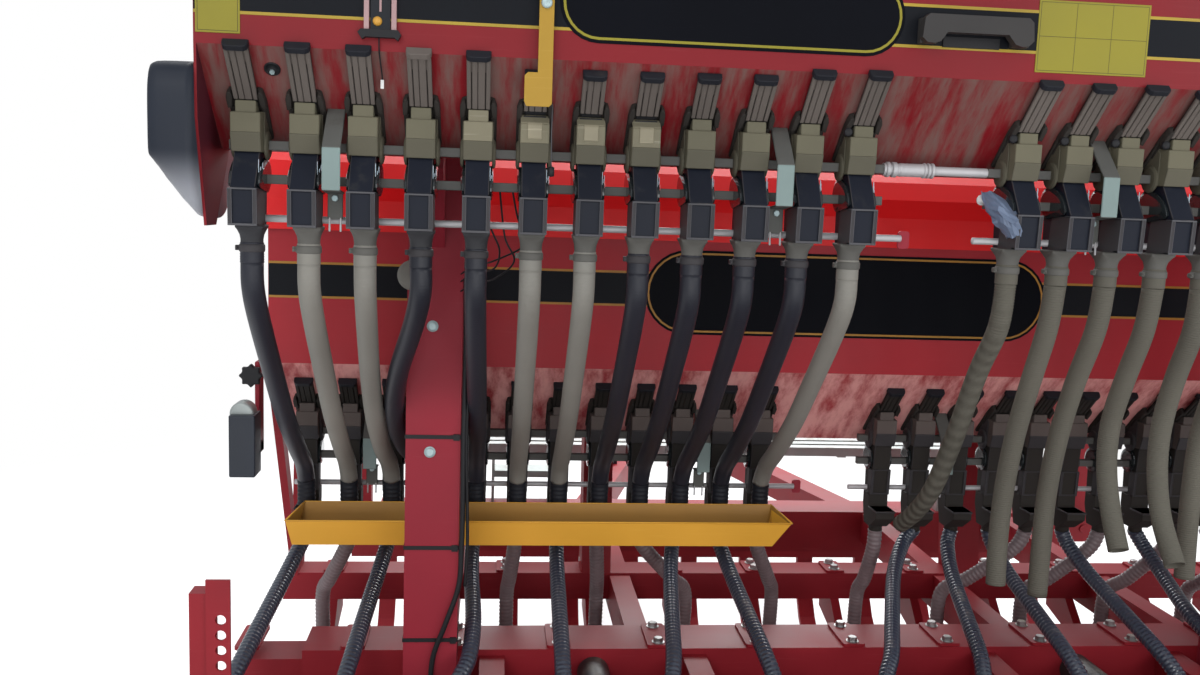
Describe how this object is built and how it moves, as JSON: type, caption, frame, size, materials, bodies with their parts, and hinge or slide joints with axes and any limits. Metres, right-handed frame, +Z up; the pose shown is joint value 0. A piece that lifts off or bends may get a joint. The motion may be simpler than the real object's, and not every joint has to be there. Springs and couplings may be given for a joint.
{
  "type": "seed drill",
  "caption": "Trailed combination seed drill with a main and an upper hopper, rows of metering units, hanging hoses, a yellow trough and packer wheels.",
  "frame": {"origin": "centre of the machine's bounding box, on the ground", "axes": "+Y is the direction of travel, from the harrow to the towing eye; +X to the machine's right; +Z up"},
  "size_m": [3.029, 5.3593, 2.508],
  "materials": {
    "red_paint": "satin, dusty",
    "dark_paint": "satin",
    "zinc": "galvanised",
    "steel": "worn",
    "shutter_plastic": "dusty",
    "housing_plastic": "dusty",
    "black_plastic": "matte",
    "grey_plastic": "dusty",
    "black_rubber": "matte",
    "grey_rubber": "dusty",
    "yellow_paint": "satin",
    "rim_paint": "satin",
    "tyre": "dusty"
  },
  "bodies": {
    "chassis": {"frame": "red_paint", "drawbar": "red_paint", "towing_eye": "steel", "jack_sleeve": "red_paint", "rear_posts": "red_paint", "upper_hopper": "red_paint", "main_hopper": "red_paint", "end_cover": "black_plastic", "drive_box": "black_plastic", "upper_shutters": "shutter_plastic", "upper_housings": "housing_plastic", "upper_outlets": "black_plastic", "upper_funnels": "grey_plastic", "upper_bars": "grey_plastic", "upper_brackets": "zinc", "bar_coupling": "zinc", "main_shutters": "shutter_plastic", "main_housings": "housing_plastic", "main_outlets": "black_plastic", "main_collectors": "black_plastic", "main_bars": "grey_plastic", "main_brackets": "zinc", "face_fittings": "dark_paint", "black_hoses": "black_rubber", "grey_hoses": "grey_rubber", "hose_cuffs": "black_rubber", "free_hoses": "grey_rubber", "trough": "yellow_paint", "rear_seed_tubes": "black_rubber", "front_seed_tubes": "grey_rubber", "post_cable": "black_rubber", "rear_coulters": "red_paint", "front_coulters": "red_paint", "wheel_frame": "red_paint", "lift_cylinders": "dark_paint", "harrow": "dark_paint", "harrow_tines": "dark_paint", "tool_beam": "red_paint", "levelling_tines": "red_paint", "platform": "zinc"},
    "upper_lid": {"upper_lid": "red_paint"},
    "main_lid": {"main_lid": "red_paint"},
    "left_wheels": {"left_rims": "rim_paint", "left_tyres": "tyre"},
    "right_wheels": {"right_rims": "rim_paint", "right_tyres": "tyre"},
    "rear_discs": {"rear_discs": "steel"},
    "front_discs": {"front_discs": "steel"},
    "left_marker": {"left_marker": "red_paint"},
    "right_marker": {"right_marker": "red_paint"},
    "jack_leg": {"jack_leg": "zinc"}
  },
  "joints": [
    {"name": "upper_lid_hinge", "type": "hinge", "parent": "chassis", "child": "upper_lid", "pos_m": [0, -1.0575, 2.334], "axis": [-1, 0, 0], "range_deg": [0, 75]},
    {"name": "main_lid_hinge", "type": "hinge", "parent": "chassis", "child": "main_lid", "pos_m": [0, -0.075, 1.644], "axis": [-1, 0, 0], "range_deg": [0, 75]},
    {"name": "left_wheels_turn", "type": "hinge", "parent": "chassis", "child": "left_wheels", "pos_m": [-0.75, -1.98, 0.325], "axis": [1, 0, 0], "continuous": true},
    {"name": "right_wheels_turn", "type": "hinge", "parent": "chassis", "child": "right_wheels", "pos_m": [0.75, -1.98, 0.325], "axis": [1, 0, 0], "continuous": true},
    {"name": "rear_discs_turn", "type": "hinge", "parent": "chassis", "child": "rear_discs", "pos_m": [0, -1.35, 0.32], "axis": [1, 0, 0], "continuous": true},
    {"name": "front_discs_turn", "type": "hinge", "parent": "chassis", "child": "front_discs", "pos_m": [0, -0.72, 0.32], "axis": [1, 0, 0], "continuous": true},
    {"name": "left_marker_fold", "type": "hinge", "parent": "chassis", "child": "left_marker", "pos_m": [-1.332, 0.21, 0.59], "axis": [0, -1, 0], "range_deg": [0, 88]},
    {"name": "right_marker_fold", "type": "hinge", "parent": "chassis", "child": "right_marker", "pos_m": [1.332, 0.21, 0.59], "axis": [0, 1, 0], "range_deg": [0, 88]},
    {"name": "jack_slide", "type": "slide", "parent": "chassis", "child": "jack_leg", "axis": [0, 0, 1], "range_m": [0, 0.35]}
  ]
}
